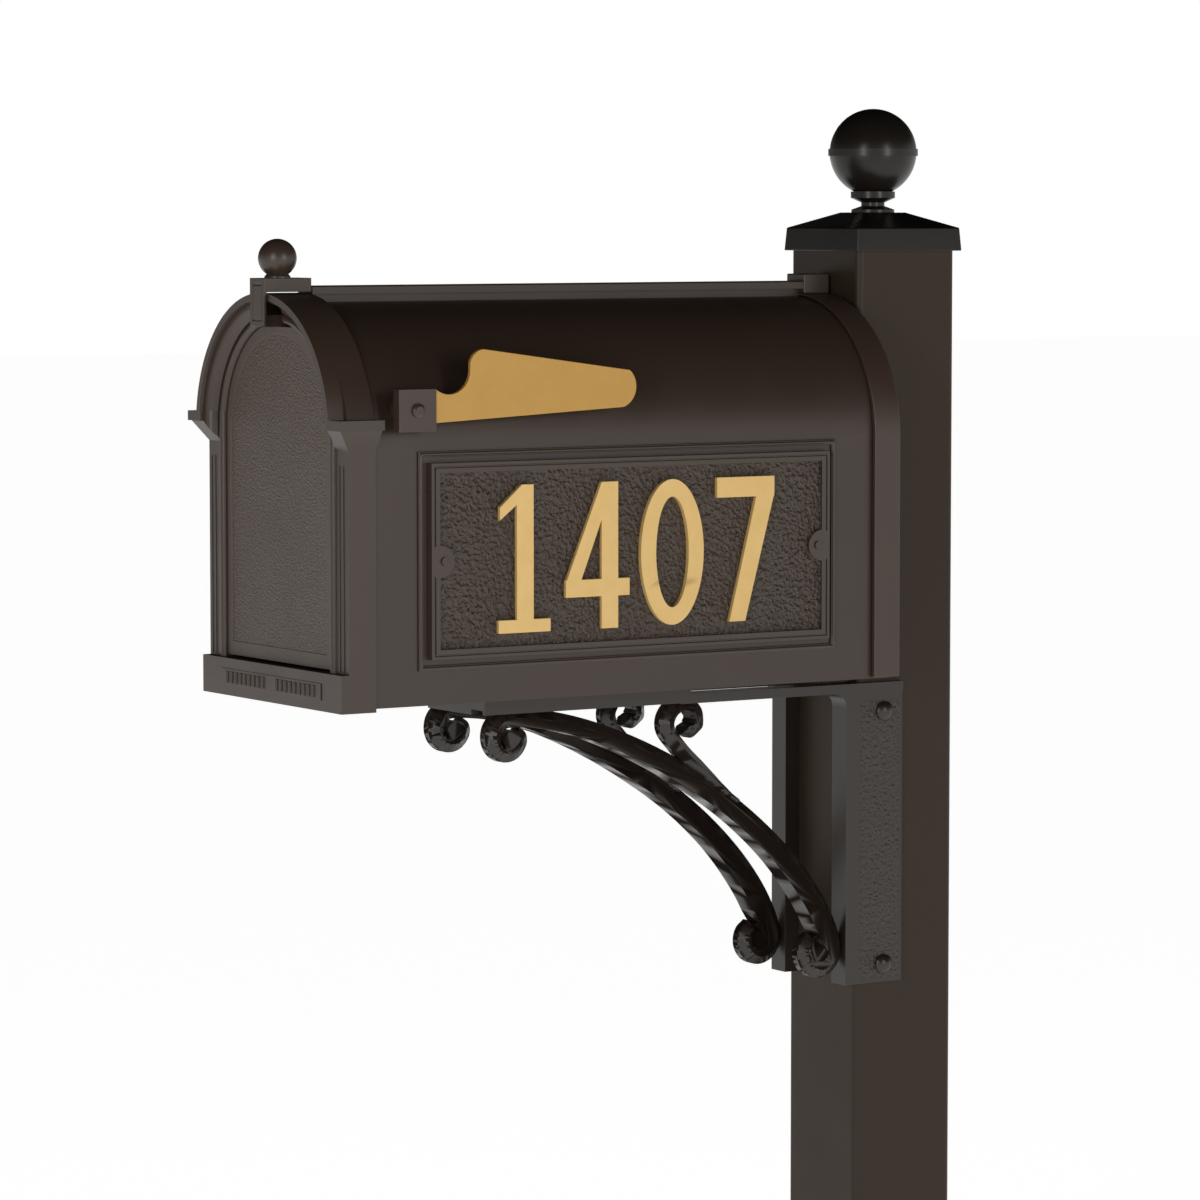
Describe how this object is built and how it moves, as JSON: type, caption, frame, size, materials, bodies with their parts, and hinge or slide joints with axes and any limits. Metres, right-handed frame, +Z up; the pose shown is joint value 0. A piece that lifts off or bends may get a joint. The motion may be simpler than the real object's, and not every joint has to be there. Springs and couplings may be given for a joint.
{
  "type": "post-mounted kerbside mailbox",
  "caption": "Arched kerbside mailbox with bottom-hinged front door, swing-up flag and side number plaques, held on a square post by a scroll-braced bracket.",
  "frame": {"origin": "centre of the four anchor holes on the underside of the base plate, at ground level under the post's axis", "axes": "+Z up along the post, -Y towards the door end of the box, +X to the flag side"},
  "size_m": [0.264, 0.7042, 1.5483],
  "materials": {
    "box_paint": "satin dark bronze powder coat on cast and sheet aluminium",
    "bracket_paint": "satin dark bronze powder coat on cast aluminium",
    "post_paint": "satin dark bronze powder coat",
    "gold_paint": "satin gold paint",
    "zinc_steel": "zinc plated",
    "magnet": "plated magnet"
  },
  "bodies": {
    "post_and_box": {"base_plate": "post_paint", "block_relief": "box_paint", "body_shell": "box_paint", "bracket_bolt_1": "bracket_paint", "bracket_bolt_2": "bracket_paint", "bracket_cross_bar": "bracket_paint", "bracket_left": "bracket_paint", "bracket_nut_1": "zinc_steel", "bracket_nut_2": "zinc_steel", "bracket_right": "bracket_paint", "door_magnet": "magnet", "door_pin_left": "zinc_steel", "door_pin_right": "zinc_steel", "finial_stud": "zinc_steel", "flag_mount": "box_paint", "flag_nut": "zinc_steel", "flag_screw_pin": "box_paint", "flag_washer": "zinc_steel", "floor_pan": "box_paint", "floor_screw_1": "zinc_steel", "floor_screw_2": "zinc_steel", "floor_screw_3": "zinc_steel", "floor_screw_4": "zinc_steel", "front_frame": "box_paint", "numeral_left_1": "gold_paint", "numeral_left_2": "gold_paint", "numeral_left_3": "gold_paint", "numeral_left_4": "gold_paint", "numeral_right_1": "gold_paint", "numeral_right_2": "gold_paint", "numeral_right_3": "gold_paint", "numeral_right_4": "gold_paint", "plaque_left": "box_paint", "plaque_right": "box_paint", "plaque_screw_left_back": "box_paint", "plaque_screw_left_front": "box_paint", "plaque_screw_right_back": "box_paint", "plaque_screw_right_front": "box_paint", "post_cap": "post_paint", "post_finial": "post_paint", "post_tube": "post_paint", "rear_block": "box_paint", "rear_casting": "box_paint", "roof_ridge": "box_paint", "scroll_brace_left": "bracket_paint", "scroll_brace_right": "bracket_paint", "side_frame_left": "box_paint", "side_frame_right": "box_paint"},
    "door": {"door_leaf": "box_paint", "door_strike": "zinc_steel", "door_pull": "box_paint", "door_knob": "box_paint"},
    "flag": {"flag_hub": "box_paint", "flag_arm": "gold_paint"}
  },
  "joints": [
    {"name": "door_hinge", "type": "hinge", "parent": "post_and_box", "child": "door", "pos_m": [0, -0.5808, 1.1034], "axis": [1, 0, 0], "range_deg": [0, 95]},
    {"name": "flag_pivot", "type": "hinge", "parent": "post_and_box", "child": "flag", "pos_m": [0.129, -0.5323, 1.3053], "axis": [1, 0, 0], "range_deg": [0, 90]}
  ]
}
